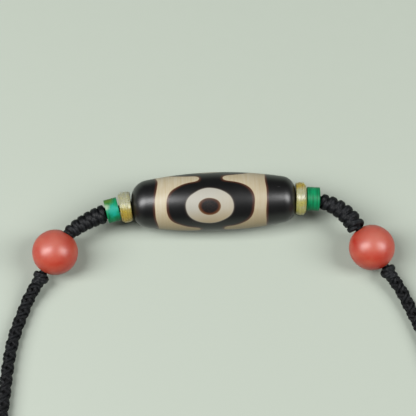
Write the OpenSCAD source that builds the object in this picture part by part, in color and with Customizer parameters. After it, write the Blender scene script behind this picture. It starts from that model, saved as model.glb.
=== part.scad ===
// A dzi bead necklace, laid out as a closed loop on a flat surface, in millimetres.
// The long agate bead lies across the front, a ring, a drum, a row of knots and a coral bead
// follow on each side, and two braids run round to the closing knot at the back.
// +X runs to the right along the agate bead, +Y from the closing knot to the bead, +Z is up.
// The origin is under the middle of the whole loop, on the surface that it lies on.

/* [Dzi bead] */
// Length of the agate bead, end face to end face
dzi_l = 38; // [30:0.5:48]
// Largest diameter of the agate bead, at its middle
dzi_d = 13.6; // [11:0.1:16]
// Diameter that the barrel's curve has come down to at the end faces
dzi_end_d = 9.6; // [8:0.1:10.5]
// Radius that rounds the barrel over to its left end face
dzi_round_left = 4.2; // [2:0.1:4.4]
// Radius that rounds the barrel over to its right end face
dzi_round_right = 3.4; // [2:0.1:4.4]

/* [Rings and drums] */
// Outer diameter of the yellow ring on the right
ring_right_d = 7.7; // [6:0.1:9]
// Outer diameter of the yellow ring on the left
ring_left_d = 7.2; // [6:0.1:9]
// Width of the yellow ring on the right, along the string
ring_right_w = 2.2; // [1.8:0.1:3.6]
// Width of the yellow ring on the left, along the string
ring_left_w = 2.4; // [1.8:0.1:3.6]
// Rounded ridges round each yellow ring
ring_ridges = 3; // [2:1:4]
// How far the outer ridges stay below the middle of a ring
ring_step = 0.2; // [0:0.05:0.4]
// Diameter of the green drums
drum_d = 5.5; // [4.5:0.1:7]
// Length of the green drums along the string
drum_l = 3; // [2:0.1:5]
// Radius that rounds the rims of the green drums
drum_edge = 0.25; // [0.1:0.05:0.6]

/* [Coral beads] */
// Diameter of the two coral beads
coral_d = 10.5; // [8:0.1:12.5]
// How far the string dips through each coral bead, in degrees
coral_dip = 15; // [0:1:20]

/* [Knots] */
// Diameter of the waxed cord that the knots are tied from
cord_d = 1.5; // [1.2:0.05:1.8]
// Length that one knot takes along its row
knot_l = 1.75; // [1.4:0.05:2]
// Length of the row of knots on the right
row_right_l = 11.1; // [8:0.1:15]
// Length of the row of knots on the left
row_left_l = 9.7; // [8:0.1:15]
// Width of the right row of knots where it starts, at the drum
row_right_start_w = 3.6; // [3.2:0.1:5.4]
// Width of the right row of knots where it ends, at the coral bead
row_right_end_w = 4.7; // [3.2:0.1:5.4]
// Width of the left row of knots where it starts, at the drum
row_left_start_w = 4.5; // [3.2:0.1:5.4]
// Width of the left row of knots where it ends, at the coral bead
row_left_end_w = 3.4; // [3.2:0.1:5.4]
// Height of the rows of knots, as a share of their width
row_flat = 0.9; // [0.7:0.05:1]
// Depth of the furrow between two knots of a row
furrow = 0.45; // [0.1:0.05:0.6]
// Length of the stop knots below the coral beads
stop_l = 3.4; // [3:0.1:5]
// Diameter of the stop knots below the coral beads
stop_d = 4; // [3.4:0.1:5]
// Wraps of cord in the closing knot at the back
closing_wraps = 8; // [5:1:12]

/* [Braids and thread] */
// Diameter of the two braids
braid_d = 3; // [2.6:0.1:4]
// Diameter of the thread through the beads
thread_d = 1.6; // [1.2:0.1:2]
// Play of the thread in each bead's bore, all round
thread_play = 0.35; // [0.1:0.05:0.5]
// Play of the braids in the closing knot's bore, all round
closing_play = 0.1; // [0.05:0.05:0.3]
// Gap between two neighbours on the string
seat = 0.1; // [0.05:0.05:0.3]

/* [Hidden] */
LEFT = -1;
RIGHT = 1;

// How the string lies, seen from above: the heading of each piece in degrees, where 0 runs
// straight out to its own side and 90 runs to the back. The dzi bead's is for its right end.
// columns: gap before the ring, ring, drum, first and last knot of the row, coral bead and stop knot
DZI_TURN = 2.2;
ANGLES_RIGHT = [-DZI_TURN, 0, 2, 18, 60, 54];
ANGLES_LEFT = [55, 11, 15, 19, 36, 59];

// Routes of the two braids seen from above, from the stop knots round to the closing knot,
// measured from the middle of the dzi bead
ROUTE_RIGHT = [
    [45.4, -24.4],
    [50, -36],
    [56, -57],
    [61, -84],
    [63, -114],
    [61, -145],
    [55, -175],
    [45, -202],
    [31, -222]
];
ROUTE_LEFT = [
    [-43.6, -24.6],
    [-46.2, -34],
    [-47.6, -50],
    [-50, -80],
    [-52, -112],
    [-50, -145],
    [-45, -175],
    [-36, -202],
    [-23, -222]
];
CLOSING_AT = [4, -233];

// Facets: round pieces, sides of the knots, braids and thread, distance between a braid's
// rings, and rings of points on each knot of a row
$fn = 64;
BARREL_FN = 720;
KNOT_SIDES = 12;
BRAID_SIDES = 8;
THREAD_SIDES = 10;
BRAID_RING = 6.5;
KNOT_STEPS = 6;
// How far an outline that cuts a bore runs past the piece
CUT = 1;

// Sizes of the dzi bead's outline: the barrel is an arc of radius barrel_r, and the shoulder
// at each end is an arc of radius dzi_round that meets the barrel smoothly at shoulder_at
dzi_r = dzi_d / 2;
barrel_sag = (dzi_d - dzi_end_d) / 2;
barrel_r = (pow(dzi_l / 2, 2) + pow(barrel_sag, 2)) / (2 * barrel_sag);
barrel_mid = dzi_r - barrel_r;
function dzi_round(side) = side == RIGHT ? dzi_round_right : dzi_round_left;
function shoulder_x(side) = dzi_l / 2 - dzi_round(side);
function shoulder_r(side) =
    barrel_mid + sqrt(pow(barrel_r - dzi_round(side), 2) - pow(shoulder_x(side), 2));
function shoulder_at(side) = shoulder_x(side) * barrel_r / (barrel_r - dzi_round(side));

bore_d = thread_d + 2 * thread_play;
closing_l = closing_wraps * cord_d;
closing_bore_d = braid_d + 2 * closing_play;
closing_d = closing_bore_d + 2 * cord_d;
// The share of its width that a row of knots keeps at its two ends
KNOT_END = 0.62;
function tip_r(w) = w / 2 * KNOT_END;

// Height at which the string enters the coral beads, which lie on the surface
coral_top_z = coral_d / 2 * (1 + sin(coral_dip));

// Direction of the string on one side, at a heading and a dip in degrees
function along(side, heading, dip) =
    [side * cos(dip) * cos(heading), -cos(dip) * sin(heading), -sin(dip)];

// Room that two neighbours need so that one can turn against the other by some degrees
function room(reach, turn) = seat + reach * sin(abs(turn));

function angles(side) = side == RIGHT ? ANGLES_RIGHT : ANGLES_LEFT;
function ring_d(side) = side == RIGHT ? ring_right_d : ring_left_d;
function ring_w(side) = side == RIGHT ? ring_right_w : ring_left_w;
function row_l(side) = side == RIGHT ? row_right_l : row_left_l;
function row_start_w(side) = side == RIGHT ? row_right_start_w : row_left_start_w;
function row_end_w(side) = side == RIGHT ? row_right_end_w : row_left_end_w;
function row_knots(side) = round(row_l(side) / knot_l);

// Angles that the string turns by, in plan and in dip together, at the dzi bead's end face and
// at the coral bead's near side
function bend_at_dzi(side) = abs(angles(side)[1] + side * DZI_TURN)
    + abs(asin((dzi_r - coral_top_z) / (ring_w(side) + drum_l + row_l(side))));
function bend_at_coral(side) = norm([angles(side)[5] - angles(side)[4], coral_dip]);

// Room behind the dzi bead's end, so that the ring's flat side clears the shoulder
function room_at_dzi(side) = let (bend = bend_at_dzi(side))
    seat + shoulder_r(side) * sin(bend) + dzi_round(side) * (1 - cos(bend));

// Room in front of a coral bead, so that the rim of the row's flat end clears the ball
function room_at_coral(side) = let (bend = bend_at_coral(side), rim = tip_r(row_end_w(side)))
    rim * sin(bend) + sqrt(pow(coral_d / 2 + seat, 2) - pow(rim * cos(bend), 2)) - coral_d / 2;

// Lengths and headings from the dzi bead's end face to the coral bead's near side
function upper_legs(side) = let (h = angles(side), n = row_knots(side)) concat(
    [
        [room_at_dzi(side) / cos(h[1] - h[0]), h[0]],
        [ring_w(side), h[1]],
        [room(drum_d / 2, h[2] - h[1]), h[2]],
        [drum_l, h[2]],
        [room(tip_r(row_start_w(side)), h[3] - h[2]), h[3]]
    ],
    [for (i = [0:n - 1]) [row_l(side) / n, h[3] + (h[4] - h[3]) * i / (n - 1)]],
    [[room_at_coral(side), h[5]]]
);

// Lengths and headings from the coral bead's near side to the start of the braid
function lower_legs(side) = let (h = angles(side)[5])
    [[coral_d, h], [seat, h], [stop_l, h], [seat, h]];

function total(legs, i = 0) = i < len(legs) ? legs[i][0] + total(legs, i + 1) : 0;

// Points of a walk over the legs, from a first point at one dip
function walk(side, at, legs, dip, i = 0) = i == len(legs)
    ? [at]
    : concat([at], walk(side, at + legs[i][0] * along(side, legs[i][1], dip), legs, dip, i + 1));

// The string comes down from the dzi bead's axis so that the coral bead lies on the surface
function upper_dip(side) = asin((dzi_r - coral_top_z) / total(upper_legs(side)));
function dzi_end(side) =
    [0, 0, dzi_r] + dzi_l / 2 * [side * cos(DZI_TURN), side * sin(DZI_TURN), 0];
function upper(side) = walk(side, dzi_end(side), upper_legs(side), upper_dip(side));
function last(list) = list[len(list) - 1];
function lower(side) = walk(side, last(upper(side)), lower_legs(side), coral_dip);

// Smooth curve through points: the point at share t between b and c, with neighbours a and d
function between(a, b, c, d, t) = let (m = (c - a) / 2, n = (d - b) / 2)
    (2 * pow(t, 3) - 3 * pow(t, 2) + 1) * b
    + (pow(t, 3) - 2 * pow(t, 2) + t) * m
    + (3 * pow(t, 2) - 2 * pow(t, 3)) * c
    + (pow(t, 3) - pow(t, 2)) * n;

// A braid's line: it leaves the stop knot straight on, lies on the surface, and enters the
// closing knot along the knot's axis, up to a small gap in the middle
EXIT = 1;
ENTRY = 5;
function closing_mouth(side) =
    [CLOSING_AT.x + side * (closing_l / 2 + ENTRY), CLOSING_AT.y, closing_d / 2];
function braid_line(side) = let (
    first = along(side, angles(side)[5], coral_dip),
    start = last(lower(side)) + EXIT * first,
    chosen = [for (p = side == RIGHT ? ROUTE_RIGHT : ROUTE_LEFT) [p.x, p.y, braid_d / 2]],
    mouth = closing_mouth(side),
    inward = [-side, 0, 0],
    before = chosen[0] - 2 * norm(chosen[0] - start) * first,
    after = last(chosen) + 2 * norm(mouth - last(chosen)) * inward,
    points = concat([before, start], chosen, [mouth, after]),
    spans = len(points) - 3,
    curve = [
        for (i = [0:spans - 1])
            let (steps = max(2, round(norm(points[i + 2] - points[i + 1]) / BRAID_RING)))
            for (k = [0:steps - 1])
                between(points[i], points[i + 1], points[i + 2], points[i + 3], k / steps)
    ]
) concat(
    [last(lower(side))],
    [for (p = curve) [p.x, p.y, max(p.z, braid_d / 2)]],
    [mouth, [CLOSING_AT.x + side * seat, mouth.y, mouth.z]]
);

function unit(v) = v / norm(v);
function tangent(line, i) =
    unit(line[min(i + 1, len(line) - 1)] - line[max(i - 1, 0)]);

// One ring of points round a line: sizes holds the two half widths, level and upright
function ring_points(centre, dir, sizes) = let (
    level = unit(cross([0, 0, 1], dir)),
    upright = cross(dir, level),
    n = len(sizes)
) [
    for (k = [0:n - 1])
        centre + sizes[k][0] * cos(360 * k / n) * level + sizes[k][1] * sin(360 * k / n) * upright
];

function round_ring(r, sides) = [for (k = [1:sides]) [r, r]];

// Closed skin over rings of points, all with the same number of sides
module skin(rings) {
    sides = len(rings[0]);
    n = len(rings);
    points = [for (ring = rings, p = ring) p];
    walls = [
        for (i = [0:n - 2], k = [0:sides - 1], half = [0, 1])
            let (a = i * sides + k, b = i * sides + (k + 1) % sides)
            half == 0 ? [a, a + sides, b] : [b, a + sides, b + sides]
    ];
    first_end = [for (k = [0:sides - 1]) k];
    last_end = [for (k = [sides - 1:-1:0]) (n - 1) * sides + k];
    polyhedron(points, concat([first_end], walls, [last_end]));
}

function tube(line, r, sides) = [
    for (i = [0:len(line) - 1]) ring_points(line[i], tangent(line, i), round_ring(r, sides))
];

// Rings of a row of knots that follows a line: each knot bulges, and leans so that the bulges of
// the row's two sides lie half a knot apart. The width runs from w0 to w1, and both ends close in.
function row(line, knots, w0, w1, flat) = let (steps = knots * KNOT_STEPS, legs = len(line) - 1) [
    for (j = [0:steps]) let (
        t = j / steps,
        leg = min(floor(t * legs), legs - 1),
        centre = line[leg] + (line[leg + 1] - line[leg]) * (t * legs - leg),
        dir = unit(
            tangent(line, leg) * (leg + 1 - t * legs) + tangent(line, leg + 1) * (t * legs - leg)
        ),
        from_end = min(t, 1 - t) * knots,
        closed = KNOT_END + (1 - KNOT_END) * sin(90 * min(1, 2 * from_end)),
        half = (w0 + (w1 - w0) * t) / 2
    )
    ring_points(centre, dir, [
        for (k = [0:KNOT_SIDES - 1]) let (
            lean = 45 * cos(360 * k / KNOT_SIDES),
            bulge = abs(cos(180 * t * knots + lean)),
            r = (half - furrow * (1 - bulge)) * closed
        ) [r, r * flat]
    ])
];

// The string from the drum to the coral bead, and from the coral bead to the braid
RING_LEG = 1;
DRUM_LEG = 3;
ROW_LEG = 5;
CORAL_LEG = 0;
STOP_LEG = 2;
function row_line(side) = let (u = upper(side))
    [for (i = [ROW_LEG:ROW_LEG + row_knots(side)]) u[i]];
function stop_line(side) = let (w = lower(side)) [w[STOP_LEG], w[STOP_LEG + 1]];

// The whole loop is moved so that the origin is under the middle of its box
braid_corners = [
    for (side = [LEFT, RIGHT], ring = tube(braid_line(side), braid_d / 2, BRAID_SIDES), p = ring) p
];
low_x = min([for (p = braid_corners) p.x]);
high_x = max([for (p = braid_corners) p.x]);
low_y = CLOSING_AT.y - closing_d / 2;
high_y = barrel_r + barrel_mid * cos(DZI_TURN);
SHIFT = [-(low_x + high_x) / 2, -(low_y + high_y) / 2, 0];

// Puts a piece that runs along +X on the middle of one leg of the string
module on_string(side, points, leg, heading, dip) {
    middle = (points[leg] + points[leg + 1]) / 2;
    translate(middle + SHIFT) rotate([0, dip, side == RIGHT ? -heading : 180 + heading]) children();
}

// A round piece that is turned about +X, from an outline of radius over length
module turned() {
    rotate([0, 90, 0]) rotate_extrude() children();
}

// The long agate bead: a barrel with rounded shoulders, drilled end to end
module dzi_bead() {
    color("#2a2522") translate([0, 0, dzi_r] + SHIFT) rotate([0, 0, DZI_TURN]) turned()
        difference() {
            union() {
                intersection() {
                    translate([barrel_mid, 0]) circle(barrel_r, $fn = BARREL_FN);
                    translate([0, -shoulder_at(LEFT)])
                        square([dzi_r, shoulder_at(LEFT) + shoulder_at(RIGHT)]);
                }
                for (side = [LEFT, RIGHT]) {
                    translate([shoulder_r(side), side * shoulder_x(side)]) circle(dzi_round(side));
                    translate([0, min(0, side) * dzi_l / 2]) square([shoulder_r(side), dzi_l / 2]);
                }
            }
            translate([-dzi_r, -dzi_l / 2 - CUT]) square([dzi_r + bore_d / 2, dzi_l + 2 * CUT]);
        }
}

// A translucent yellow ring with soft ridges
module ring(side) {
    w = ring_w(side);
    ridge_r = w / ring_ridges / 2;
    color("#c9bd62") on_string(side, upper(side), RING_LEG, angles(side)[1], upper_dip(side)) turned() {
        translate([bore_d / 2, -w / 2])
            square([ring_d(side) / 2 - ring_step - ridge_r - bore_d / 2, w]);
        for (i = [0:ring_ridges - 1]) {
            off_middle = abs(2 * i - (ring_ridges - 1)) / (ring_ridges - 1);
            top = ring_d(side) / 2 - ring_step * off_middle;
            foot = 2 * ridge_r * i - w / 2;
            translate([bore_d / 2, foot]) square([top - ridge_r - bore_d / 2, 2 * ridge_r]);
            translate([top - ridge_r, foot + ridge_r]) circle(ridge_r);
        }
    }
}

// A green drum with rounded rims
module drum(side) {
    color("#1f8f5a") on_string(side, upper(side), DRUM_LEG, angles(side)[2], upper_dip(side)) turned() {
        translate([bore_d / 2, -drum_l / 2]) square([drum_d / 2 - drum_edge - bore_d / 2, drum_l]);
        translate([bore_d / 2, drum_edge - drum_l / 2])
            square([(drum_d - bore_d) / 2, drum_l - 2 * drum_edge]);
        for (end = [LEFT, RIGHT])
            translate([drum_d / 2 - drum_edge, end * (drum_l / 2 - drum_edge)]) circle(drum_edge);
    }
}

// A row of knots in black waxed cord
module knot_row(side) {
    color("#1c1c1e") translate(SHIFT)
        skin(row(row_line(side), row_knots(side), row_start_w(side), row_end_w(side), row_flat));
}

// A drilled coral bead that lies on the surface
module coral(side) {
    color("#c8452f") on_string(side, lower(side), CORAL_LEG, angles(side)[5], coral_dip) turned()
        difference() {
            circle(d = coral_d);
            translate([-coral_d / 2 - CUT, -coral_d / 2 - CUT])
                square([(coral_d + bore_d) / 2 + CUT, coral_d + 2 * CUT]);
        }
}

// The knot that stops a coral bead, in front of the braid
module stop_knot(side) {
    color("#1c1c1e") translate(SHIFT)
        skin(row(stop_line(side), round(stop_l / knot_l), stop_d, stop_d, 1));
}

// The thread: one stretch through the dzi bead, rings and drums, one through each coral bead
module thread() {
    left = upper(LEFT);
    right = upper(RIGHT);
    front = concat([for (i = [ROW_LEG:-1:0]) left[i]], [for (i = [0:ROW_LEG]) right[i]]);
    color("#26262a") translate(SHIFT) {
        skin(tube(trimmed(front), thread_d / 2, THREAD_SIDES));
        for (side = [LEFT, RIGHT])
            skin(tube(trimmed([lower(side)[0], stop_line(side)[0]]), thread_d / 2, THREAD_SIDES));
    }
}

// A line with both ends cut back by half a seat
function trimmed(line) = let (n = len(line) - 1) [
    for (i = [0:n])
        i == 0 ? line[0] + seat / 2 * unit(line[1] - line[0])
        : i == n ? line[n] + seat / 2 * unit(line[n - 1] - line[n])
        : line[i]
];

// One of the two braids, as a plain round tube
module braid(side) {
    color("#1c1c1e") translate(SHIFT) skin(tube(braid_line(side), braid_d / 2, BRAID_SIDES));
}

// The closing knot: wraps of cord bound round the ends of both braids
module closing_knot() {
    color("#1c1c1e") translate([CLOSING_AT.x, CLOSING_AT.y, closing_d / 2] + SHIFT) turned() {
        translate([closing_bore_d / 2, -closing_l / 2]) square([cord_d / 2, closing_l]);
        for (i = [0:closing_wraps - 1])
            translate([(closing_d - cord_d) / 2, cord_d * (i + 0.5) - closing_l / 2])
                circle(d = cord_d);
    }
}

dzi_bead();
ring(LEFT);  // ring_left
ring(RIGHT);  // ring_right
drum(LEFT);  // drum_left
drum(RIGHT);  // drum_right
knot_row(LEFT);  // knot_row_left
knot_row(RIGHT);  // knot_row_right
coral(LEFT);  // coral_left
coral(RIGHT);  // coral_right
stop_knot(LEFT);  // stop_knot_left
stop_knot(RIGHT);  // stop_knot_right
thread();
braid(LEFT);  // braid_left
braid(RIGHT);  // braid_right
closing_knot();
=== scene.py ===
import bpy
import numpy as np
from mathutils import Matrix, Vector


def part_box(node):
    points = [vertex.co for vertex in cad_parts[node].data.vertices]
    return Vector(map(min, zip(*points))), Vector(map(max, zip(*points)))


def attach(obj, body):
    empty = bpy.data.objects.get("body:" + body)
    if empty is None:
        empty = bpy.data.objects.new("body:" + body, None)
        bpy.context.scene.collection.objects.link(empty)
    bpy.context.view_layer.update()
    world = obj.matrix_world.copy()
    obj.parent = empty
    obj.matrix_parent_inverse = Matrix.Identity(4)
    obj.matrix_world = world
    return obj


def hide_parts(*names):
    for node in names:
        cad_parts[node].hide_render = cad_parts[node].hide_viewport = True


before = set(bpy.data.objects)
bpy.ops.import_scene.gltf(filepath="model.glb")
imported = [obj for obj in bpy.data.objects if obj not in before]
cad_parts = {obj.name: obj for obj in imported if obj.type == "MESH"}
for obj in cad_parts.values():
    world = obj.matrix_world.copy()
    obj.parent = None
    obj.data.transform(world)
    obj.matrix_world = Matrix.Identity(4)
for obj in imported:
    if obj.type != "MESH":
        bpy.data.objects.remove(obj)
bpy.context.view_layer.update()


# The view: at the agate bead from the side of the braids, 72 degrees up, through a long lens.
# The picture's middle lies just beside the bead's.
VIEW_UP = np.radians(72)
VIEW_DISTANCE = 0.3
VIEW_WIDTH = 0.0963
VIEW_MIDDLE = np.array([-0.00127, -0.00156, 0])


def middle(node):
    """Middle of a solid's box, which is also the centre of a turned piece, however it leans."""
    low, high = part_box(node)
    return (np.array(low) + np.array(high)) / 2


looked_at = middle("dzi_bead") + VIEW_MIDDLE
camera = bpy.data.objects.new("camera", bpy.data.cameras.new("camera"))
camera.data.lens = camera.data.sensor_width * VIEW_DISTANCE / VIEW_WIDTH
camera.location = looked_at + VIEW_DISTANCE * np.array([0, -np.cos(VIEW_UP), np.sin(VIEW_UP)])
camera.rotation_euler = (np.pi / 2 - VIEW_UP, 0, 0)
bpy.context.scene.collection.objects.link(camera)
bpy.context.scene.camera = camera
bpy.context.scene.view_settings.view_transform = "Standard"


# The light: two soft boxes, left and right of the view and some 40 degrees off it, each long from
# low to high and narrow across, and a dim surround.
BOX_DISTANCE = 0.9
BOX_WIDTH = 0.34
SURROUND = (0.97, 1.0, 0.96)
SURROUND_STRENGTH = 0.07


def soft_box(name, direction, length, power):
    """An area light at BOX_DISTANCE from the bead and turned towards it, long from low to high."""
    light = bpy.data.lights.new(name, "AREA")
    light.shape = "RECTANGLE"
    light.size = BOX_WIDTH
    light.size_y = length
    light.energy = power
    box = bpy.data.objects.new(name, light)
    box.location = looked_at + BOX_DISTANCE * np.array(direction)
    box.rotation_euler = Vector(direction).to_track_quat("Z", "Y").to_euler()
    bpy.context.scene.collection.objects.link(box)


soft_box("box_left", direction=(-0.62, -0.10, 0.78), length=0.80, power=13.5)
soft_box("box_right", direction=(0.70, -0.10, 0.71), length=0.60, power=8.8)
world = bpy.data.worlds.new("surround")
world.use_nodes = True
background = world.node_tree.nodes["Background"]
background.inputs["Color"].default_value = (*SURROUND, 1)
background.inputs["Strength"].default_value = SURROUND_STRENGTH
bpy.context.scene.world = world


# The surface that the necklace lies on: a plain, flat sheet, matt and pale grey-green. It is no
# part of the necklace.
SURFACE_HALF = 3.0
SURFACE_COLOR = (0.284, 0.316, 0.270)
SURFACE_ROUGHNESS = 0.5
SURFACE_MOTTLE = 300


class Value:
    """A socket that varies over a surface. Arithmetic on it adds the Math nodes that work it out."""

    def __init__(self, finish, socket):
        self.finish = finish
        self.socket = socket

    def math(self, operation, *others, clamp=False):
        """A Math node's result on this value and the others, kept between 0 and 1 if clamp."""
        settings = {"operation": operation, "use_clamp": clamp}
        return self.finish.node("Math", settings, dict(enumerate((self, *others))))

    def __add__(self, other):
        return self.math("ADD", other)

    def __radd__(self, other):
        return self.math("ADD", other)

    def __sub__(self, other):
        return self.math("SUBTRACT", other)

    def __rsub__(self, other):
        return self.finish.node("Math", {"operation": "SUBTRACT"}, {0: other, 1: self})

    def __mul__(self, other):
        return self.math("MULTIPLY", other)

    def __rmul__(self, other):
        return self.math("MULTIPLY", other)

    def __truediv__(self, other):
        return self.math("DIVIDE", other)

    def __pow__(self, other):
        return self.math("POWER", other)

    def __neg__(self):
        return self.math("MULTIPLY", -1)

    def __abs__(self):
        return self.math("ABSOLUTE")


class Finish:
    """A material and its nodes."""

    def __init__(self, name):
        self.material = bpy.data.materials.new(name)
        self.material.use_nodes = True
        self.tree = self.material.node_tree
        self.tree.nodes.clear()

    def node(self, kind, settings=(), inputs=(), output=0):
        """Adds a node of one kind, makes its settings, a ramp's stops too, and then sets its inputs
        or links them to other values."""
        node = self.tree.nodes.new("ShaderNode" + kind)
        for name, setting in dict(settings).items():
            if name == "stops":
                for place, color in setting[2:]:
                    node.color_ramp.elements.new(place)
                for element, (place, color) in zip(node.color_ramp.elements, setting):
                    element.position = place
                    element.color = (*color, 1)
            else:
                setattr(node, name, setting)
        for name, value in dict(inputs).items():
            if isinstance(value, Value):
                self.tree.links.new(value.socket, node.inputs[name])
            else:
                node.inputs[name].default_value = value
        return Value(self, node.outputs[output]) if node.outputs else None

    def mix(self, factor, first, second):
        """A colour between two colours, each a value or three numbers."""
        colors = [c if isinstance(c, Value) else (*c, 1) for c in (first, second)]
        return self.node("Mix", {"data_type": "RGBA"}, {0: factor, 6: colors[0], 7: colors[1]}, 2)

    def noise(self, place, scale, detail=2):
        """A soft noise, mostly from 0.3 to 0.7, of about scale waves to one unit of the place."""
        return self.node("TexNoise", {}, {"Vector": place, "Scale": scale, "Detail": detail})

    def bump(self, height, distance):
        """Normals that lean as if the surface rose by height times distance in metres."""
        return self.node("Bump", {}, {"Height": height, "Distance": distance, "Strength": 1})

    def surface(self, inputs):
        """Gives the material its shader, with these inputs."""
        shader = self.node("BsdfPrincipled", {}, inputs)
        self.node("OutputMaterial", {}, {"Surface": shader})


ground = Finish("matt_surface")
ground_place = ground.node("TexCoord", output="Object")
ground.surface({
    "Base Color": (*SURFACE_COLOR, 1),
    "Roughness": SURFACE_ROUGHNESS + 0.1 * ground.noise(ground_place, SURFACE_MOTTLE),
})
corners = SURFACE_HALF * np.array([(-1, -1, 0), (1, -1, 0), (1, 1, 0), (-1, 1, 0)])
floor_mesh = bpy.data.meshes.new("floor")
floor_mesh.from_pydata(corners.tolist(), [], [(0, 1, 2, 3)])
floor_mesh.materials.append(ground.material)
floor = bpy.data.objects.new("floor", floor_mesh)
bpy.context.scene.collection.objects.link(floor)


# The agate bead: a long barrel, ground from stone, drilled end to end and polished to a satin
# gloss. Black and cream bands are etched into it: two black ends, and three eyes round its
# middle, each a cream ring on a black panel.
BEAD_LENGTH = 0.038
BEAD_WIDTH = 0.0136
BEAD_END_WIDTH = 0.0096
BEAD_ROUNDING_LEFT = 0.0042
BEAD_ROUNDING_RIGHT = 0.0034
BEAD_TURN = np.radians(2.2)
BORE = 0.0023
BORE_LIP = 0.0002
LIP_POINTS = 5
BORE_POINTS = 8
BARREL_POINTS = 60
ROUNDING_POINTS = 24
BEAD_SIDES = 192
BEAD_UNEVEN = 0.004
CREASE = np.radians(50)


def beside(direction):
    """Level and upright unit vectors that are square to a direction, or to an array of them."""
    level = np.cross([0, 0, 1], direction)
    level /= np.linalg.norm(level, axis=-1, keepdims=True)
    return level, np.cross(direction, level)


def turned(outline, centre, axis, sides, uneven=None):
    """Rings of points of a turned piece: the outline's point at x along the axis and r from it gives
    the ring centre + x axis + r (cos a level + sin a upright), with r uneven by a small share."""
    level, upright = beside(axis)
    x, r = outline.T[:, :, None]
    a = np.linspace(0, 2 * np.pi, sides, endpoint=False)[None]
    if uneven:
        r = r * (1 + uneven(x, a))
    out = np.cos(a)[..., None] * level + np.sin(a)[..., None] * upright
    return centre + x[..., None] * axis + r[..., None] * out


def add_piece(name, shells, finish, closed):
    """One mesh of several shells, each a grid of rings of points, smooth but for its creases. Each
    ring joins the next one, and the last one joins the first if closed, or else both ends get a flat
    face. The UV map's u runs once round a ring, and its v is the distance along the rings' centres."""
    points, faces, corners = [], [], []
    first = 0
    for shell in shells:
        rings, sides = shell.shape[:2]
        ids = first + np.arange(rings * sides).reshape(rings, sides)
        steps = np.linalg.norm(np.diff(shell.mean(1), axis=0), axis=1)
        v = np.concatenate([[0], np.cumsum(steps)])
        u = np.arange(sides + 1) / sides
        here = ids if closed else ids[:-1]
        there = np.roll(ids, -1, 0) if closed else ids[1:]
        quads = np.stack([here, np.roll(here, -1, 1), np.roll(there, -1, 1), there], -1)
        v_here = v[:len(here), None]
        v_there = np.resize(v[1:], len(here))[:, None]
        around_quad = (u[:-1], v_here, u[1:], v_here, u[1:], v_there, u[:-1], v_there)
        uv = np.stack(np.broadcast_arrays(*around_quad), -1)
        faces += quads.reshape(-1, 4).tolist()
        corners.append(uv.reshape(-1, 2))
        if not closed:
            faces += [ids[0][::-1].tolist(), ids[-1].tolist()]
            corners.append(np.zeros((2 * sides, 2)))
        points.append(shell.reshape(-1, 3))
        first += rings * sides
    mesh = bpy.data.meshes.new(name)
    mesh.from_pydata(np.concatenate(points).tolist(), [], faces)
    mesh.uv_layers.new(name="along").data.foreach_set("uv", np.concatenate(corners).ravel())
    mesh.shade_smooth()
    mesh.set_sharp_from_angle(angle=CREASE)
    mesh.materials.append(finish.material)
    piece = bpy.data.objects.new(name, mesh)
    bpy.context.scene.collection.objects.link(piece)
    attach(piece, "root")
    return piece


def bored(left, right, half_length):
    """A closed outline from the outer outlines of a piece's two halves, each from its middle to its
    end face. Both go on round a lip and into the bore."""
    lip = np.linspace(0, np.pi / 2, LIP_POINTS)
    lip_x = half_length - BORE_LIP * (1 - np.cos(lip))
    lip_r = BORE / 2 + BORE_LIP * (1 - np.sin(lip))
    bore_x = np.linspace(half_length - BORE_LIP, 0, BORE_POINTS, endpoint=False)[1:]
    bore_r = np.full(len(bore_x), BORE / 2)
    inside = np.stack([np.append(lip_x, bore_x), np.append(lip_r, bore_r)], 1)
    halves = [np.concatenate([outer, inside]) for outer in (left, right)]
    return np.concatenate([halves[0][::-1] * [-1, 1], halves[1][1:]])


def barrel_half(rounding):
    """Outer outline of half the bead, from its middle to an end face: the barrel's arc, which has
    its centre at barrel_middle from the axis, and an arc of the rounding's radius that goes on
    smoothly from it."""
    shoulder_x = BEAD_LENGTH / 2 - rounding
    shoulder_r = barrel_middle + np.sqrt((barrel_radius - rounding) ** 2 - shoulder_x ** 2)
    x = np.linspace(0, shoulder_x * barrel_radius / (barrel_radius - rounding), BARREL_POINTS)
    r = barrel_middle + np.sqrt(barrel_radius ** 2 - x ** 2)
    bend_start = np.arcsin((x[-1] - shoulder_x) / rounding)
    bend = np.linspace(bend_start, np.pi / 2, ROUNDING_POINTS)[1:]
    shoulder = (shoulder_x, shoulder_r) + rounding * np.stack([np.sin(bend), np.cos(bend)], 1)
    return np.concatenate([np.stack([x, r], 1), shoulder])


sag = (BEAD_WIDTH - BEAD_END_WIDTH) / 2
barrel_radius = ((BEAD_LENGTH / 2) ** 2 + sag ** 2) / (2 * sag)
barrel_middle = BEAD_WIDTH / 2 - barrel_radius
bead_left = barrel_half(BEAD_ROUNDING_LEFT)
bead_right = barrel_half(BEAD_ROUNDING_RIGHT)
bead_outline = bored(bead_left, bead_right, BEAD_LENGTH / 2)


def ground_by_hand(x, a):
    """A slow swell round and along the bead, as a share of its radius."""
    return BEAD_UNEVEN * np.sin(2 * a + 90 * x) * np.cos(170 * x + a)


bead_axis = np.array([np.cos(BEAD_TURN), np.sin(BEAD_TURN), 0])
bead_middle = middle("dzi_bead")

# Places on the bead are in millimetres: x along its axis, and s round it, at the radius ROUND, from
# the middle of the panel that faces the view. That panel is turned EYE_FACES from the bead's top.
ROUND = 6.8
EYE_FACES = np.radians(-25.362)
EYES = 3
SKEW = 0.07
WOBBLE = 0.9
WOBBLE_SCALE = 0.16
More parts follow.
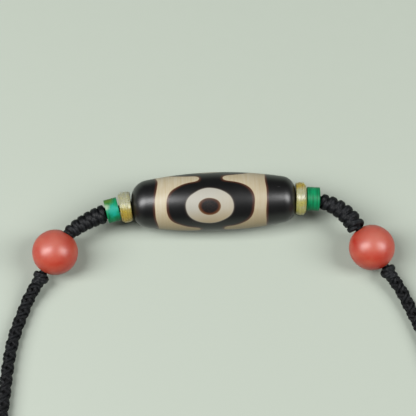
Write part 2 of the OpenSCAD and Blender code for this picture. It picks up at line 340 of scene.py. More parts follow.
# The black: two caps at the ends, a panel round each eye, and necks that join the panels
CAP_LEFT = 13.5
CAP_LEFT_BOW = 0.6
CAP_RIGHT = 12.15
PANEL_MIDDLE = -0.74
PANEL_HALF = (9.8, 6.15)
PANEL_SQUARE = 2.9
NECK_MIDDLE = -0.5
NECK_HALF = 2.55
NECK_FLARE = 2.4
# The eye on the panel, a little below its middle, and the eye's dark pupil with its rusty rim
EYE_MIDDLE = -0.97
EYE_HALF = (5.6, 4.45)
EYE_LOW = 0.2
PUPIL_MIDDLE = -1.1
PUPIL_HALF = (2.38, 1.82)
PUPIL_RIM = (-0.68, 0.12)
# The half width of the brown edge between black and cream, and where the cream gets darker: along
# the bead towards its right end, which is painted shade, across the eye, at the eye's own edge, and
# at the bead's front, which is painted shade with a warm painted reflection
BORDER = 1.0
RIGHT_SHADE_SPAN = (6, 11)
WARMED = (-2.5, 4)
EYE_EDGE = (0.3, -0.3)
FRONT_SHADE_SPAN = (-3.6, -6.4)
CLOUD_SCALE = 0.35
STREAK_SCALE = (2.6, 0.16, 0.16)
SPECK_SCALE = 3.2
GRAIN_SCALE = 6
PIT_SCALE = 0.28
PIT_DEPTH = 0.0001
BLACK = (0.0018, 0.0018, 0.0020)
BROWN_BLACK = (0.012, 0.005, 0.003)
MAHOGANY = (0.040, 0.013, 0.007)
RUST = (0.070, 0.022, 0.005)
TAN = (0.17, 0.105, 0.055)
CREAM = (0.31, 0.255, 0.158)
PALE = (0.36, 0.322, 0.24)
FRONT_SHADE_SAND = (0.22, 0.165, 0.078)
EYE_WHITE = (0.262, 0.256, 0.228)
EYE_WARM = (0.270, 0.240, 0.180)
RIGHT_SHADE_TAN = (0.225, 0.180, 0.108)
DUSK = (0.030, 0.022, 0.016)
SPECK = (0.016, 0.009, 0.007)

agate = Finish("banded_agate")
agate_place = agate.node("TexCoord", output="Object")
on_bead = agate.node("Mapping", {"vector_type": "TEXTURE"}, {
    "Vector": agate_place, "Location": tuple(bead_middle), "Rotation": (0, 0, BEAD_TURN),
    "Scale": (0.001, 0.001, 0.001),
})
drift = agate.node("TexNoise", {}, {"Vector": on_bead, "Scale": WOBBLE_SCALE, "Detail": 1}, "Color")
drift = agate.node("VectorMath", {"operation": "SUBTRACT"}, {0: drift, 1: (0.5, 0.5, 0.5)})
etched = agate.node("VectorMath", {"operation": "MULTIPLY_ADD"}, {
    0: drift, 1: (WOBBLE, WOBBLE, WOBBLE), 2: on_bead,
})
y = agate.node("SeparateXYZ", {}, {0: etched}, "Y")
z = agate.node("SeparateXYZ", {}, {0: etched}, "Z")
third = np.pi * ROUND / EYES
s = ((y.math("ARCTAN2", z) - EYE_FACES) * ROUND).math("WRAP", third, -third)
x = agate.node("SeparateXYZ", {}, {0: etched}, "X") - SKEW * (s * (np.pi / third)).math("SINE")


def oval(x, s, half, n=2):
    """Nearly the distance from an oval's edge, less than 0 inside it: the oval is where the sum of
    |x / half width|^n and |s / half height|^n is 1."""
    total = abs(x / half[0]) ** n + abs(s / half[1]) ** n
    return (total ** (1 / n) - 1) * (sum(half) / 2)


def soft_step(value, start, end):
    """0 up to start and 1 from end on."""
    return ((value - start) / (end - start)).math("MULTIPLY", 1, clamp=True)


panel = oval(x - PANEL_MIDDLE, s, PANEL_HALF, PANEL_SQUARE)
neck = abs(x - NECK_MIDDLE) - NECK_HALF
bow = (s * (np.pi / 2 / third)).math("SINE") ** 4
cap_left = x + CAP_LEFT - CAP_LEFT_BOW * bow
cap_right = CAP_RIGHT - x
eye = oval(x - EYE_MIDDLE, s + EYE_LOW, EYE_HALF)
pupil = oval(x - PUPIL_MIDDLE, s + EYE_LOW, PUPIL_HALF)

# How far a place is from the black, less than 0 within it
dark = panel.math("SMOOTH_MIN", neck, NECK_FLARE)
dark = dark.math("MINIMUM", cap_left.math("MINIMUM", cap_right))
dark = dark.math("MAXIMUM", -eye)
dark = dark.math("MINIMUM", pupil)

# The cream, and the eye's own whiter stone
streaks = agate.node("VectorMath", {"operation": "MULTIPLY"}, {0: on_bead, 1: STREAK_SCALE})
streak = agate.noise(streaks, 1, 3)
cloud = agate.noise(on_bead, CLOUD_SCALE, 3)
front = agate.node("SeparateXYZ", {}, {0: on_bead}, "Y")
light = agate.mix(soft_step(1.3 * cloud + 1.9 * streak, 1.1, 2.1), CREAM, PALE)
# Painted shade: the cream darker and tanner towards the bead's right end
light = agate.mix(soft_step(x, *RIGHT_SHADE_SPAN) * 0.4, light, RIGHT_SHADE_TAN)
eye_light = agate.mix(soft_step(0.6 * x - 0.8 * s, *WARMED), EYE_WHITE, EYE_WARM)
light = agate.mix(soft_step(eye, *EYE_EDGE) * 0.85, light, eye_light)
# Painted shade and a warm painted reflection: the cream darker and sandier at the bead's front
light = agate.mix(soft_step(front, *FRONT_SHADE_SPAN) * 0.7, light, FRONT_SHADE_SAND)

# From black to cream by the depth into the border: brown along the bands, grey round the eye
depth = soft_step(dark, -BORDER, BORDER)
browned = agate.node("ValToRGB", {"stops": [
    (0.24, BLACK), (0.33, BROWN_BLACK), (0.42, MAHOGANY), (0.53, MAHOGANY), (0.57, TAN), (0.62, CREAM),
]}, {0: depth})
plain = agate.node("ValToRGB", {"stops": [(0.38, BLACK), (0.5, DUSK), (0.64, EYE_WHITE)]}, {0: depth})
edge = agate.mix(soft_step(abs(eye), 0.6, 0.3), browned, plain)
bleached = soft_step(depth, 0.55, 0.63)
bead_color = agate.mix(bleached, edge, light)

# The pupil: speckled black, with a rusty rim that is darker on its upper side
speckled = agate.mix(soft_step(agate.noise(on_bead, SPECK_SCALE, 3), 0.42, 0.7), BLACK, SPECK)
rim_depth = soft_step(pupil, *PUPIL_RIM)
rusty = agate.node("ValToRGB", {"stops": [
    (0.1, BROWN_BLACK), (0.4, MAHOGANY), (0.72, RUST), (0.92, TAN),
]}, {0: rim_depth})
rusty = agate.mix(soft_step(s, 0.2, 1.4) * 0.7, rusty, BROWN_BLACK)
pupil_color = agate.mix(soft_step(rim_depth, 0.3, 0), rusty, speckled)
bead_color = agate.mix(soft_step(rim_depth, 0.95, 0.8), bead_color, pupil_color)

# The etched cream is less glossy than the black; fine grain and a few pits are all over
grain = agate.noise(on_bead, GRAIN_SCALE)
pit_distance = agate.node("TexVoronoi", {}, {"Vector": on_bead, "Scale": PIT_SCALE})
pits = soft_step(pit_distance, 0.035, 0.01)
agate.surface({
    "Base Color": bead_color,
    "Roughness": 0.30 + 0.1 * cloud + 0.15 * bleached,
    "Normal": agate.bump(0.04 * grain + 0.05 * streak - pits, PIT_DEPTH),
    "IOR": 1.54,
})
shell = turned(bead_outline, bead_middle, bead_axis, BEAD_SIDES, ground_by_hand)
dzi_bead = add_piece("dzi_bead_stone", [shell], agate, closed=True)
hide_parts("dzi_bead")


# The two rings against the bead's ends: translucent straw-yellow stone, turned with ridges and a
# lower step on the side away from the bead, and clouded ochre and milky. The milky spot on each
# ring's top is partly the stone's clouding and partly painted light glowing through the stone. The
# left one is a little wedge-shaped.
LEFT, RIGHT = -1, 1
SIDES = {"left": LEFT, "right": RIGHT}
RING_WIDTH = {LEFT: 0.0072, RIGHT: 0.0077}
RING_LENGTH = {LEFT: 0.0024, RIGHT: 0.0022}
RING_ROUNDING = 0.0006
RING_SQUARE = 2.8
RING_POINTS = 121
RING_SIDES = 128
RIDGES = {LEFT: 4.5, RIGHT: 2.5}
RIDGE_SHARE = 0.115
OUTER_STEP = 0.00022
OUTER_STEP_AT = (0.25, 0.31)
TO_BEAD = {LEFT: (0.0001, 0.0006), RIGHT: (0.00025, 0.00025)}
HEADING_RING = {LEFT: 11, RIGHT: 0}
HEADING_DRUM = {LEFT: 15, RIGHT: 2}


def along(side, heading, dip):
    """Direction of the string on one side: the heading is 0 straight out to that side and 90 to
    the front, where the braids lie, and the dip is down, both in degrees."""
    h, d = np.radians(heading), np.radians(dip)
    return np.array([side * np.cos(d) * np.cos(h), -np.cos(d) * np.sin(h), -np.sin(d)])


def upper_dip(name):
    """Dip of the string between the ring and the drum of one side, in degrees."""
    fall = middle("ring_" + name) - middle("drum_" + name)
    return np.degrees(np.arcsin(fall[2] / np.linalg.norm(fall)))


def ring_outline(width, length, ridges):
    """Closed outline of a ring. At the share x of its length, from -1/2 to 1/2, the rim is below its
    top by a rounding of 1 - (1 - |2x|^n)^(1/n), by the waves of the ridges and by the outer step."""
    x = np.sin(np.linspace(-np.pi / 2, np.pi / 2, RING_POINTS)) / 2
    r = width / 2 - RING_ROUNDING * (1 - (1 - np.abs(2 * x) ** RING_SQUARE) ** (1 / RING_SQUARE))
    r -= RIDGE_SHARE * length / ridges * (1 - np.cos(2 * np.pi * ridges * (x + 0.5))) / 2
    r -= OUTER_STEP * np.interp(x, OUTER_STEP_AT, (0, 1))
    bore = [[length / 2, BORE / 2], [0, BORE / 2], [-length / 2, BORE / 2]]
    return np.concatenate([np.stack([x * length, r], 1), bore])


def to_the_bead(shell, centre, axis, width, length, reach):
    """A ring with its rim stretched towards the bead: by the first reach at its front and the second
    at its back, and less and less from the bead's side of the rim to its middle and to the bore."""
    apart = shell - centre
    x = apart @ axis
    r = np.linalg.norm(apart - x[..., None] * axis, axis=-1)
    back = 0.5 + apart[..., 1] / width
    stretch = (reach[0] + (reach[1] - reach[0]) * back) * np.clip(-2 * x / length, 0, 1)
    return shell - (stretch * np.clip(2 * (2 * r / width - 0.5), 0, 1))[..., None] * axis


def distance(finish, place, centre):
    """Distance of a place from a point."""
    ends = {0: place, 1: tuple(centre)}
    return finish.node("VectorMath", {"operation": "DISTANCE"}, ends, "Value")


def spot(finish, place, centre, inner, outer):
    """1 up to inner from a point and 0 beyond outer, with an uneven edge."""
    uneven = (finish.noise(place, RAGGED_SCALE, 3) - 0.5) * (outer - inner) * 2
    return soft_step(distance(finish, place, centre) + uneven, outer, inner)


SPOT_STRENGTH = 0.85
RAGGED_SCALE = 900
VEIN_SCALE = 420
TURNED_ALONG = (1, 0.06, 0.06)
TURNED_SCALE = 2600
TURNED_DEPTH = 0.00012
STRAW = (0.33, 0.30, 0.040)
OCHRE = (0.30, 0.205, 0.014)
MILKY = (0.29, 0.29, 0.205)
OCHRE_AT = {LEFT: (0.0006, -0.0033, 0.0014), RIGHT: (-0.0007, 0.0026, 0.0028)}
OCHRE_SIZE = {LEFT: (0.0014, 0.0030), RIGHT: (0.0008, 0.0019)}
MILKY_GLOW_AT = {LEFT: (-0.0003, 0.0014, 0.0031), RIGHT: (0, 0.0003, 0.0038)}
MILKY_GLOW_SIZE = {LEFT: (0.0019, 0.0032), RIGHT: (0.0010, 0.0024)}
yellow = Finish("yellow_stone")
yellow_place = yellow.node("TexCoord", output="Object")
veins = yellow.noise(yellow_place, VEIN_SCALE, 3)
yellow_color = yellow.mix(soft_step(veins, 0.42, 0.72) * 0.8, STRAW, MILKY)
for name, side in SIDES.items():
    centre = middle("ring_" + name)
    # Milky spot on each ring's top: partly the stone's clouding, partly painted light glowing through
    # it
    milky_and_glow = spot(yellow, yellow_place, centre + MILKY_GLOW_AT[side], *MILKY_GLOW_SIZE[side])
    ochre = spot(yellow, yellow_place, centre + OCHRE_AT[side], *OCHRE_SIZE[side])
    yellow_color = yellow.mix(milky_and_glow * SPOT_STRENGTH, yellow_color, MILKY)
    yellow_color = yellow.mix(ochre * SPOT_STRENGTH, yellow_color, OCHRE)
turning = yellow.node("VectorMath", {"operation": "MULTIPLY"}, {0: yellow_place, 1: TURNED_ALONG})
yellow.surface({
    "Base Color": yellow_color,
    "Roughness": 0.24 + 0.08 * yellow.noise(yellow_place, RAGGED_SCALE),
    "Normal": yellow.bump(yellow.noise(turning, TURNED_SCALE), TURNED_DEPTH),
    "IOR": 1.55,
    "Transmission Weight": 0.15,
    "Subsurface Weight": 0.5,
    "Subsurface Radius": (0.0012, 0.0010, 0.0004),
    "Subsurface Scale": 1.0,
})
for name, side in SIDES.items():
    axis = along(side, HEADING_RING[side], upper_dip(name))
    centre = middle("ring_" + name)
    width, length = RING_WIDTH[side], RING_LENGTH[side]
    shell = turned(ring_outline(width, length, RIDGES[side]), centre, axis, RING_SIDES)
    shell = to_the_bead(shell, centre, axis, width, length, TO_BEAD[side])
    ring = add_piece("ring_%s_stone" % name, [shell], yellow, closed=True)
    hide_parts("ring_" + name)


# The two drums outside the rings: short cylinders of green stone, drilled and turned, with fine
# lines round them and broken rims. The left one has turquoise and olive patches, and a whitish patch
# on its top that is a painted highlight.
DRUM_WIDTH = 0.0055
DRUM_LENGTH = 0.003
DRUM_RIM = 0.00018
DRUM_POINTS = 60
RIM_POINTS = 7
DRUM_SIDES = 96
LINE_PITCH = 0.00030
LINE_DEPTH = 0.000018

drum_x = np.linspace(0, DRUM_LENGTH / 2 - DRUM_RIM, DRUM_POINTS)
drum_r = DRUM_WIDTH / 2 - LINE_DEPTH * (1 + np.cos(2 * np.pi * drum_x / LINE_PITCH))
rim = np.linspace(0, np.pi / 2, RIM_POINTS)[1:]
broken_off = DRUM_RIM * (1 - np.stack([np.sin(rim), np.cos(rim)], 1))
drum_outer = np.concatenate([
    np.stack([drum_x, drum_r], 1),
    (DRUM_LENGTH / 2, DRUM_WIDTH / 2) - broken_off,
])

GREEN_CLOUD_SCALE = 300
LINE_SCALE = 3400
SCRATCH_SCALE = 4000
SCRATCH_DEPTH = 0.00003
DEEP_GREEN = (0.002, 0.085, 0.030)
GREEN = (0.004, 0.185, 0.072)
TURQUOISE = (0.006, 0.24, 0.18)
OLIVE = (0.060, 0.125, 0.010)
GLINT_WHITE = (0.24, 0.32, 0.21)
TURQUOISE_AT = (0.0004, -0.0008, 0.0026)
OLIVE_AT = (-0.0010, 0.0017, 0.0022)
GLINT_AT = (-0.0014, -0.0001, 0.0027)
green = Finish("green_stone")
green_place = green.node("TexCoord", output="Object")
clouds = green.noise(green_place, GREEN_CLOUD_SCALE)
lines = green.node("VectorMath", {"operation": "MULTIPLY"}, {0: green_place, 1: TURNED_ALONG})
tint = 0.4 * clouds + 0.9 * green.noise(lines, LINE_SCALE)
green_color = green.mix(soft_step(tint, 0.5, 0.8), DEEP_GREEN, GREEN)
drum_left = middle("drum_left")
# Patches on the left drum: turquoise and olive in the stone, and a whitish painted highlight on top
for color, at, inner, outer in (
    (TURQUOISE, TURQUOISE_AT, 0.0006, 0.0020),
    (GLINT_WHITE, GLINT_AT, 0.0002, 0.0011),
    (OLIVE, OLIVE_AT, 0.0007, 0.0017),
):
    patch = spot(green, green_place, drum_left + at, inner, outer)
    green_color = green.mix(patch * SPOT_STRENGTH, green_color, color)
green.surface({
    "Base Color": green_color,
    "Roughness": 0.38 + 0.12 * clouds,
    "Normal": green.bump(green.noise(lines, SCRATCH_SCALE), SCRATCH_DEPTH),
    "Specular IOR Level": 0.15,
})
for name, side in SIDES.items():
    axis = along(side, HEADING_DRUM[side], upper_dip(name))
    outline = bored(drum_outer, drum_outer, DRUM_LENGTH / 2)
    shell = turned(outline, middle("drum_" + name), axis, DRUM_SIDES)
    drum = add_piece("drum_%s_stone" % name, [shell], green, closed=True)
    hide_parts("drum_" + name)


# The rows of knots: black waxed cord, tied in a row of snake knots from each drum to its coral
# bead. Two doubled cords wind round the core, one over the other on top and under it below, so
# that their bends stand out in turn on the row's two sides.
CORD = 0.0012
TWIN = 0.00024
KNOTS = 6
ROW_LENGTH = {LEFT: 0.0097, RIGHT: 0.0111}
ROW_HEADINGS = {LEFT: (19, 36), RIGHT: (18, 60)}
ROW_WIDTHS = {LEFT: (0.0045, 0.0034), RIGHT: (0.0036, 0.0047)}
ROW_GAP = 0.00035
ROW_FLAT = 0.9
ROW_END = 0.75
ROW_TAPER = 0.5
ROW_FRONT = {LEFT: (0.0003, 0.0007), RIGHT: (0.0004, 0.00025)}
ROW_STEP = 0.00006
KNOT_LEAN = {LEFT: 0.21, RIGHT: 0.1}
KNOT_ASIDE = 0.2
KNOT_BELOW = 0.1
KNOT_CORE = 0.55
HEADING_CORAL = {LEFT: 59, RIGHT: 54}
CORD_SIDES = 12
CURVE_POINTS = 40
TINY = 1e-5


def smooth_line(points, spacing):
    """Points at even distances on a smooth curve through some points. Between the neighbours b and
    c, the curve is the cubic that leaves b along half of c - a and reaches c along half of d - b."""
    a, b, c, d = points[:-3], points[1:-2], points[2:-1], points[3:]
    t = np.linspace(0, 1, CURVE_POINTS, endpoint=False)[None, :, None]
    m, n = ((c - a) / 2)[:, None], ((d - b) / 2)[:, None]
    curve = (2 * t ** 3 - 3 * t ** 2 + 1) * b[:, None] + (t ** 3 - 2 * t ** 2 + t) * m
    curve = curve + (3 * t ** 2 - 2 * t ** 3) * c[:, None] + (t ** 3 - t ** 2) * n
    return evenly(np.concatenate([curve.reshape(-1, 3), points[-2:-1]]), spacing)


def evenly(line, spacing):
    """The same line with its points at even distances."""
    gone = np.concatenate([[0], np.cumsum(np.linalg.norm(np.diff(line, axis=0), axis=1))])
    at = np.linspace(0, gone[-1], max(2, int(round(gone[-1] / spacing)) + 1))
    return np.stack([np.interp(at, gone, line[:, k]) for k in range(3)], 1)


def directions(line):
    """Unit directions of a line at its points."""
    step = np.gradient(line, axis=0)
    return step / np.linalg.norm(step, axis=1, keepdims=True)


def tube(line, out, across, thick, sides=CORD_SIDES):
    """Rings of points round a line. A ring is an oval, with half its width thick along the out
    vectors, made square to the line, and half its width across to their side."""
    forward = directions(line)
    out = out - (out * forward).sum(1, keepdims=True) * forward
    out = out / np.linalg.norm(out, axis=1, keepdims=True)
    beyond = np.cross(forward, out)
    a = np.linspace(0, 2 * np.pi, sides, endpoint=False)
    thick = np.resize(thick, len(line))
    across = np.resize(across, len(line))
    return (
        line[:, None]
        + (thick[:, None] * np.cos(a))[..., None] * out[:, None]
        + (across[:, None] * np.sin(a))[..., None] * beyond[:, None]
    )


def knot_row(line, knots, widths, flat, front, lean, end, taper):
    """The two doubled cords and the core of a row of knots along an even line. Each cord winds round
    the line once in a knot: at the angle w, it is reach (aside + (1 - aside) cos w) to its own side
    and rise (-below + (1 - below) sin w) above the line, and lean cos w of a knot further on. The
    other cord is half a turn behind, with aside and below turned round. Front, 1 or -1, mirrors the
    row from side to side. The row has only the share end of its width at its very ends, and grows
    to its full width over the first and last taper of a knot. TINY gives a cord an outward direction
    even where it crosses the line."""
    forward = directions(line)
    level, upright = beside(forward)
    share = np.linspace(0, 1, len(line))
    pitch = np.linalg.norm(np.diff(line, axis=0), axis=1).sum() / knots
    from_end = np.minimum(share, 1 - share) * knots
    closing = end + (1 - end) * np.sin(np.pi / 2 * np.minimum(1, from_end / taper))
    half = (widths[0] + (widths[1] - widths[0]) * share) / 2 * closing
    reach = half - CORD / 2
    rise = half * flat - CORD / 2
    shells = []
    for own in (LEFT, RIGHT):
        w = 2 * np.pi * share * knots + own * np.pi / 2
        aside = reach * (KNOT_ASIDE * own + (1 - KNOT_ASIDE) * np.cos(w)) * front
        above = rise * (-KNOT_BELOW * own + (1 - KNOT_BELOW) * np.sin(w))
        lead = lean * pitch * np.cos(w) * np.minimum(1, from_end)
        for twin in (-TWIN, TWIN):
            ahead = lead + twin * np.minimum(1, from_end)
            path = line + aside[:, None] * level + above[:, None] * upright + ahead[:, None] * forward
            out = path - line + TINY * upright
            shells.append(tube(path, out, CORD / 2, CORD / 2))
    shells.append(tube(line, upright, half - KNOT_CORE * CORD, rise))
    return shells


# The cord's finish follows its UV map: u round it, 0 on the crown away from the piece's core, and
# v along it in metres. Plies twist round it, and its crowns are rubbed a little glossier. Its colour
# is lighter on the crowns and plies and darker towards the crevices: partly uneven wear, and partly
# a painted highlight on the crowns and painted shade in the crevices.
PLIES = 3
PLY_PITCH = 0.0038
FIBRES = 26
FIBRE_PITCH = PLY_PITCH / 5
WAX_SCALE = 900
CORD_RELIEF = 0.00007
CORD_BLACK = (0.0012, 0.0013, 0.0015)
CORD_WEAR_AND_HIGHLIGHT = (0.0100, 0.0110, 0.0125)
cord = Finish("waxed_cord")
around = cord.node("TexCoord", output="UV")
u = cord.node("SeparateXYZ", {}, {0: around}, "X")
v = cord.node("SeparateXYZ", {}, {0: around}, "Y")
ply = abs(((u * PLIES + v / PLY_PITCH) * np.pi).math("SINE"))
fibre = ((u * FIBRES - v / FIBRE_PITCH) * 2 * np.pi).math("SINE")
wax = cord.noise(cord.node("TexCoord", output="Object"), WAX_SCALE, 3)
crown = ((u * 2 * np.pi).math("COSINE") * 0.5 + 0.5) ** 3
# Lighter on the crowns and plies, darker in the crevices: partly uneven wear, partly a painted
# highlight on the crowns and painted shade in the crevices
wear_and_shade = soft_step(crown * (0.5 + ply) * wax, 0.1, 0.9)
cord.surface({
    "Base Color": cord.mix(wear_and_shade, CORD_BLACK, CORD_WEAR_AND_HIGHLIGHT),
    "Roughness": 0.50 + 0.14 * wax - 0.20 * crown,
    "Normal": cord.bump(ply ** 0.6 + 0.16 * fibre + 0.5 * wax, CORD_RELIEF),
    "Specular IOR Level": 0.14,
})

row_ends = {}
for name, side in SIDES.items():
    dip = upper_dip(name)
    way = along(side, HEADING_DRUM[side], dip)
    drum_face = middle("drum_" + name) + DRUM_LENGTH / 2 * way
    headings = np.linspace(*ROW_HEADINGS[side], KNOTS)
    legs = [ROW_GAP, *np.full(KNOTS, ROW_LENGTH[side] / KNOTS), ROW_GAP]
    turns = [headings[0], *headings, HEADING_CORAL[side]]
    steps = np.array([leg * along(side, h, dip) for leg, h in zip(legs, turns)])
    walk = drum_face + np.concatenate([[[0, 0, 0]], np.cumsum(steps, axis=0)])
    before = 2 * walk[0] - walk[2]
    after = 2 * walk[-1] - walk[-3]
    walk = np.array([before, walk[0], *walk[2:KNOTS + 2], after])
    line = smooth_line(walk, ROW_STEP)
    shift = np.linspace(*ROW_FRONT[side], len(line))
    line = line - side * shift[:, None] * beside(directions(line))[0]
    shells = knot_row(
        line, KNOTS, ROW_WIDTHS[side], flat=ROW_FLAT, front=-side, lean=KNOT_LEAN[side],
        end=ROW_END, taper=ROW_TAPER,
    )
    row = add_piece("knots_%s_cord" % name, shells, cord, closed=False)
    row_ends[side] = (line[0], line[-1])
    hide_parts("knot_row_" + name)


# The coral beads: one at the outer end of each row of knots, drilled and polished round. They are
# coral red, with a painted sheen that makes them paler where they face up and a little to the back,
# and with small pits left in the stone.
CORAL_WIDTH = 0.0105
CORAL_DIP = 15
CORAL_UNEVEN = 0.003
CORAL_POINTS = 60
CORAL_SIDES = 128

coral_at = np.linspace(0, np.arccos((BORE / 2 + BORE_LIP) / (CORAL_WIDTH / 2)), CORAL_POINTS)
coral_half = CORAL_WIDTH / 2 * np.sin(coral_at[-1])
coral_outer = CORAL_WIDTH / 2 * np.stack([np.sin(coral_at), np.cos(coral_at)], 1)[:-1]


def rounded_by_hand(x, a):
    """A slow swell, as a share of the radius."""
    return CORAL_UNEVEN * np.sin(3 * a + 500 * x) * np.cos(400 * x)


CORAL_RED = (0.31, 0.014, 0.005)
CORAL_ROSE = (0.36, 0.064, 0.034)
CORAL_SHEEN = (0.35, 0.110, 0.082)
CORAL_PIT_RED = (0.25, 0.02, 0.012)
SHEEN_AT = (0, 0.0008, 0.0048)
SHEEN_SIZE = (0.0008, 0.0050)
MOTTLE_SCALE = 330
CORAL_PIT_SCALE = 520
CORAL_PIT_DEPTH = 0.00006
PATCH_SCALE = 420
CORAL_GRAIN_SCALE = 1400
coral_stone = Finish("coral_stone")
coral_place = coral_stone.node("TexCoord", output="Object")
mottle = coral_stone.noise(coral_place, MOTTLE_SCALE, 3)
coral_color = coral_stone.mix(soft_step(mottle, 0.3, 0.75), CORAL_RED, CORAL_ROSE)
# Painted sheen: each coral paler round its top, where the highlights lie
for name in SIDES:
    from_sheen = distance(coral_stone, coral_place, middle("coral_" + name) + SHEEN_AT)
    sheen = soft_step(from_sheen, *SHEEN_SIZE[::-1])
    coral_color = coral_stone.mix(sheen * 0.7, coral_color, CORAL_SHEEN)
# Pits at the middles of small cells, but only in patches
cell = coral_stone.node("TexVoronoi", {}, {"Vector": coral_place, "Scale": CORAL_PIT_SCALE})
patches = soft_step(coral_stone.noise(coral_place, PATCH_SCALE), 0.5, 0.611)
coral_pit = soft_step(cell, 0.13, 0.0467) * patches
coral_grain = coral_stone.noise(coral_place, CORAL_GRAIN_SCALE)
coral_stone.surface({
    "Base Color": coral_stone.mix(0.55 * coral_pit, coral_color, CORAL_PIT_RED),
    "Roughness": 0.35 + 0.1 * mottle,
    "Normal": coral_stone.bump(0.25 * coral_grain - coral_pit, CORAL_PIT_DEPTH),
    "IOR": 1.53,
    "Subsurface Weight": 0.15,
    "Subsurface Radius": (0.002, 0.0006, 0.0004),
    "Subsurface Scale": 1.0,
})
for name, side in SIDES.items():
    axis = along(side, HEADING_CORAL[side], CORAL_DIP)
    outline = bored(coral_outer, coral_outer, coral_half)
    shell = turned(outline, middle("coral_" + name), axis, CORAL_SIDES, rounded_by_hand)
    coral = add_piece("coral_%s_bead" % name, [shell], coral_stone, closed=True)
    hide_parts("coral_" + name)


# The stop knots: one short round knot of the same cord behind each coral bead, tied in two wraps
# against the bead to hold it on its braid.
STOP_LENGTH = 0.0034
STOP_WIDTH = 0.004
STOP_WRAPS = 2
STOP_LEAN = 0.1
STOP_END = 0.5
STOP_TAPER = 1
SEAT = 0.0001
string_end = {}
for name, side in SIDES.items():
    way = along(side, HEADING_CORAL[side], CORAL_DIP)
    start = middle("coral_" + name) + (CORAL_WIDTH / 2 + SEAT) * way
    string_end[side] = start + (STOP_LENGTH + SEAT) * way
    line = evenly(np.array([start, start + STOP_LENGTH * way]), ROW_STEP)
    shells = knot_row(
        line, STOP_WRAPS, (STOP_WIDTH, STOP_WIDTH), flat=1, front=-side, lean=STOP_LEAN,
        end=STOP_END, taper=STOP_TAPER,
    )
    knot = add_piece("stop_%s_cord" % name, shells, cord, closed=False)
    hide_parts("stop_knot_" + name)


# The thread: the core cords of the knots, which run on in one stretch through the agate bead, the
# rings and the drums, and in one through each coral bead.
THREAD = 0.0016
THREAD_STEP = 0.0006
thread_lines = [np.array([
    row_ends[LEFT][0], middle("drum_left"), middle("ring_left"),
    bead_middle - BEAD_LENGTH / 2 * bead_axis, bead_middle + BEAD_LENGTH / 2 * bead_axis,
    middle("ring_right"), middle("drum_right"), row_ends[RIGHT][0],
])]
for name, side in SIDES.items():
    way = along(side, HEADING_CORAL[side], CORAL_DIP)
    centre = middle("coral_" + name)
    half = CORAL_WIDTH / 2 * way
    thread_lines.append(np.array([row_ends[side][1], centre - half, centre + half + SEAT]))
shells = []
for line in thread_lines:
    line = evenly(line, THREAD_STEP)
    shells.append(tube(line, beside(directions(line))[1], THREAD / 2, THREAD / 2))
thread = add_piece("thread_cord", shells, cord, closed=False)
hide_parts("thread")


# The braids: four doubled cords each, plaited round a core from the stop knots to the closing knot
# at the back. Two of the four wind one way and two the other, each over one and under the next.
BRAID = 0.003
BRAID_SIDES = 8
PLAIT_PITCH = 0.0055
PLAIT_STEPS = 22
PLAIT_CORE = 0.0006
STRAND_ACROSS = 0.00043
STRAND_THICK = 0.00042
STRAND_SPLIT = 0.00040
STRAND_WEAVE = 0.00020
LEAD_IN = 0.0018
GATHERED = 0.3
EXIT = 0.001
ENTRY = 0.005
ROUTE_STEP = 0.0005
# Routes of the two braids seen from above, in metres from the middle of the agate bead
ROUTES = {
    RIGHT: [
        (0.0454, -0.0244), (0.050, -0.036), (0.056, -0.057), (0.061, -0.084), (0.063, -0.114),
        (0.061, -0.145), (0.055, -0.175), (0.045, -0.202), (0.031, -0.222),
    ],
    LEFT: [
        (-0.0436, -0.0246), (-0.0462, -0.034), (-0.0476, -0.050), (-0.050, -0.080), (-0.052, -0.112),
        (-0.050, -0.145), (-0.045, -0.175), (-0.036, -0.202), (-0.023, -0.222),
    ],
}
CLOSING_LENGTH = 0.012
closing = middle("closing_knot")


def braid_line(side):
    """The middle of a braid: straight on from the stop knot, down to the surface, along its route
    and into the closing knot along the knot's own axis."""
    way = along(side, HEADING_CORAL[side], CORAL_DIP)
    start = string_end[side] + EXIT * way
    route = np.array(ROUTES[side]) + bead_middle[:2]
    chosen = np.column_stack([route, np.full(len(route), BRAID / 2)])
    mouth = closing + [side * (CLOSING_LENGTH / 2 + ENTRY), 0, 0]
    before = chosen[0] - 2 * np.linalg.norm(chosen[0] - start) * way
    after = chosen[-1] - [2 * side * np.linalg.norm(mouth - chosen[-1]), 0, 0]
    curve = smooth_line(np.array([before, start, *chosen, mouth, after]), ROUTE_STEP)
    curve[:, 2] = np.maximum(curve[:, 2], BRAID / 2)
    in_stop_knot = string_end[side] - STOP_LENGTH / 2 * way
    in_closing_knot = closing + [side * SEAT, 0, 0]
    return evenly(np.array([in_stop_knot, *curve, in_closing_knot]), PLAIT_PITCH / PLAIT_STEPS)


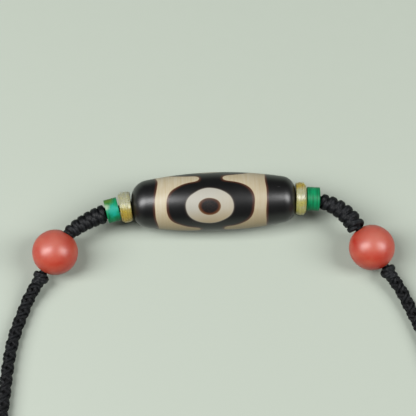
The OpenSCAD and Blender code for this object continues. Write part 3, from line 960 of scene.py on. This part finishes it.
def plait(line):
    """Four pairs of cords plaited round a line. Two pairs wind with w and two against it, and where
    they meet, each quarter turn, the one that comes over is a weave further out and the other a
    weave further in. The two cords of a pair lie side by side, a split to either side of it. Over
    the lead-in, which is inside the stop knot, the pairs gather closer to the line."""
    forward = directions(line)
    level, upright = beside(forward)
    gone = np.arange(len(line)) * np.linalg.norm(line[1] - line[0])
    w = 2 * np.pi * gone / PLAIT_PITCH
    gather = np.clip(gone / LEAD_IN, GATHERED, 1)
    outer = BRAID / 2 - STRAND_THICK
    shells = []
    for way in (LEFT, RIGHT):
        for half_turn in (0, np.pi):
            a = way * w + half_turn
            r = gather * (outer - STRAND_WEAVE * (1 + way * np.cos(2 * w)))
            out = np.cos(a)[:, None] * level + np.sin(a)[:, None] * upright
            pair = line + r[:, None] * out
            beyond = np.cross(directions(pair), out)
            for cord_side in (LEFT, RIGHT):
                path = pair + cord_side * STRAND_SPLIT * beyond
                shells.append(tube(path, out, STRAND_ACROSS, STRAND_THICK, BRAID_SIDES))
    shells.append(tube(line, upright, PLAIT_CORE, PLAIT_CORE, BRAID_SIDES))
    return shells


for name, side in SIDES.items():
    braid = add_piece("braid_%s_cord" % name, plait(braid_line(side)), cord, closed=False)
    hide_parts("braid_" + name)


# The closing knot: a plain whipping of the same cord, bound round the ends of both braids. It is
# a spiral round the x axis, whose two ends are tucked in over the first and last fifth of a turn.
WHIP_TURNS = 7.4
WHIP_TUCK = 1 / 5
TURN_POINTS = 40
whip_reach = BRAID / 2 + SEAT + CORD / 2
whip_w = np.linspace(0, 2 * np.pi * WHIP_TURNS, int(WHIP_TURNS * TURN_POINTS))
whip_share = np.linspace(0, 1, len(whip_w))
tuck = np.clip(np.minimum(whip_share, 1 - whip_share) * WHIP_TURNS / WHIP_TUCK, 0, 1)
whip_out = np.stack([0 * whip_w, np.cos(whip_w), np.sin(whip_w)], 1)
whip_along = (whip_share - 0.5)[:, None] * [CLOSING_LENGTH - CORD, 0, 0]
whip_radius = whip_reach - CORD * (1 - tuck)
whip = closing + whip_along + whip_radius[:, None] * whip_out
closing_knot = add_piece("closing_cord", [tube(whip, whip_out, CORD / 2, CORD / 2)], cord, closed=False)
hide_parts("closing_knot")
